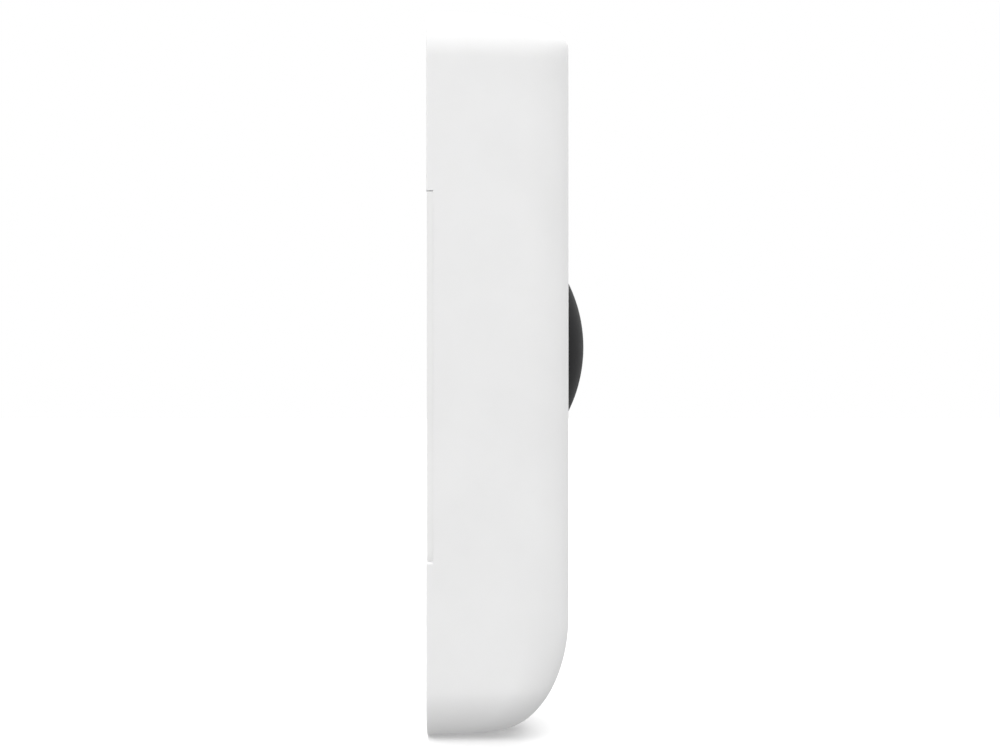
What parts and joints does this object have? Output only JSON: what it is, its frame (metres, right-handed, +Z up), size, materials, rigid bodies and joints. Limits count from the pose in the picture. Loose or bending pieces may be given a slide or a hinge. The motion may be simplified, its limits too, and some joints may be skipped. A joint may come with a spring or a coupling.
{
  "type": "video doorbell",
  "caption": "Slim upright wall doorbell with a black camera dome, a lit push button, a pull-off front cover, a wall plate, wire terminals and a locking screw underneath.",
  "frame": {"origin": "middle of the wall plate's flat back face, on the wall", "axes": "+Z up, +Y into the wall, so the front faces -Y, and +X to the right seen from the front"},
  "size_m": [0.0406, 0.0261, 0.1194],
  "materials": {
    "shell_white": "satin moulded white polycarbonate with a very fine grain",
    "inner_white": "matt moulded white plastic",
    "inner_grey": "matt moulded dark grey plastic",
    "dome_black": "glossy near-black infrared-passing plastic",
    "lens_glass": "coated optical glass",
    "lamp_clear": "clear epoxy lamp",
    "diffuser": "milky translucent plastic",
    "silicone": "translucent silicone",
    "black_rubber": "soft black rubber",
    "circuit_board": "dark green solder mask over glass fibre",
    "chip_black": "moulded black component body",
    "sheet_steel": "tin-plated pressed steel sheet",
    "screw_steel": "zinc-plated steel",
    "brass": "turned brass",
    "copper": "copper foil on polyimide",
    "aluminium": "bare aluminium",
    "aluminium_can": "drawn aluminium can"
  },
  "bodies": {
    "wall_mount": {"wall_plate": "inner_white"},
    "unit": {"rear_housing": "inner_white", "housing_seal": "black_rubber", "front_frame": "inner_grey", "camera_dome": "dome_black", "dome_seal": "black_rubber", "lens_shroud": "inner_grey", "lamp_board": "circuit_board", "infrared_lamp_1": "lamp_clear", "infrared_lamp_2": "lamp_clear", "infrared_lamp_3": "lamp_clear", "infrared_lamp_4": "lamp_clear", "lens_barrel": "inner_grey", "front_lens": "lens_glass", "lens_holder": "inner_grey", "image_sensor": "lens_glass", "sensor_board": "circuit_board", "camera_ribbon": "copper", "light_ring": "diffuser", "button_seal": "silicone", "switch_base": "chip_black", "switch_snap_dome": "sheet_steel", "motion_lens": "diffuser", "motion_sensor": "sheet_steel", "microphone": "sheet_steel", "microphone_boot": "black_rubber", "speaker_frame": "inner_grey", "speaker_magnet": "screw_steel", "speaker_cone": "black_rubber", "main_board": "circuit_board", "shield_can": "sheet_steel", "heat_spreader": "aluminium", "radio_module": "sheet_steel", "antenna": "copper", "antenna_lead": "black_rubber", "board_screw_upper": "screw_steel", "board_screw_lower": "screw_steel", "power_board": "circuit_board", "board_connector": "chip_black", "power_inductor": "chip_black", "power_capacitor": "aluminium_can", "supercapacitor": "aluminium_can", "reset_switch": "sheet_steel", "terminal_post_left": "brass", "terminal_post_right": "brass", "housing_screw_top_left": "screw_steel", "housing_screw_top_right": "screw_steel", "housing_screw_bottom_left": "screw_steel", "housing_screw_bottom_right": "screw_steel", "security_nut": "brass"},
    "cover": {"front_cover": "shell_white"},
    "button": {"button_cap": "shell_white", "switch_plunger": "inner_grey"},
    "reset": {"reset_button": "inner_grey"},
    "left_clamp": {"terminal_washer_left": "brass"},
    "left_screw": {"terminal_screw_left": "screw_steel"},
    "right_clamp": {"terminal_washer_right": "brass"},
    "right_screw": {"terminal_screw_right": "screw_steel"},
    "lock_washer": {"security_washer": "black_rubber"},
    "lock_screw": {"security_screw": "screw_steel"}
  },
  "joints": [
    {"name": "unit_tip", "type": "hinge", "parent": "wall_mount", "child": "unit", "pos_m": [0, 0, 0.0597], "axis": [-1, 0, 0], "range_deg": [0, 25]},
    {"name": "cover_off", "type": "slide", "parent": "unit", "child": "cover", "axis": [0, -1, 0], "range_m": [0, 0.03]},
    {"name": "button_press", "type": "slide", "parent": "unit", "child": "button", "axis": [0, 1, 0], "range_m": [0, 0.0007], "stiffness_N_per_m": 2000, "springref_m": -0.0003, "deforming": ["button_seal", "switch_snap_dome"]},
    {"name": "reset_press", "type": "slide", "parent": "unit", "child": "reset", "axis": [0, -1, 0], "range_m": [0, 0.00035], "stiffness_N_per_m": 2000, "springref_m": -0.0001},
    {"name": "left_clamp_lift", "type": "slide", "parent": "unit", "child": "left_clamp", "axis": [0, 1, 0], "range_m": [0, 0.0015]},
    {"name": "left_screw_turn", "type": "hinge", "parent": "left_clamp", "child": "left_screw", "pos_m": [-0.008, -0.005, -0.0175], "axis": [0, 1, 0], "range_deg": [0, 1090]},
    {"name": "right_clamp_lift", "type": "slide", "parent": "unit", "child": "right_clamp", "axis": [0, 1, 0], "range_m": [0, 0.0015]},
    {"name": "right_screw_turn", "type": "hinge", "parent": "right_clamp", "child": "right_screw", "pos_m": [0.008, -0.005, -0.0175], "axis": [0, 1, 0], "range_deg": [0, 1090]},
    {"name": "lock_lift", "type": "slide", "parent": "unit", "child": "lock_washer", "axis": [0, 0, -1], "range_m": [0, 0.00075]},
    {"name": "lock_turn", "type": "hinge", "parent": "lock_washer", "child": "lock_screw", "pos_m": [0, -0.0062, -0.057], "axis": [0, 0, -1], "range_deg": [0, 545]}
  ],
  "couplings": [
    {"joint": "left_screw_turn", "follows": "left_clamp_lift", "rad_per_m": 12566},
    {"joint": "right_screw_turn", "follows": "right_clamp_lift", "rad_per_m": 12566},
    {"joint": "lock_turn", "follows": "lock_lift", "rad_per_m": 12566}
  ]
}
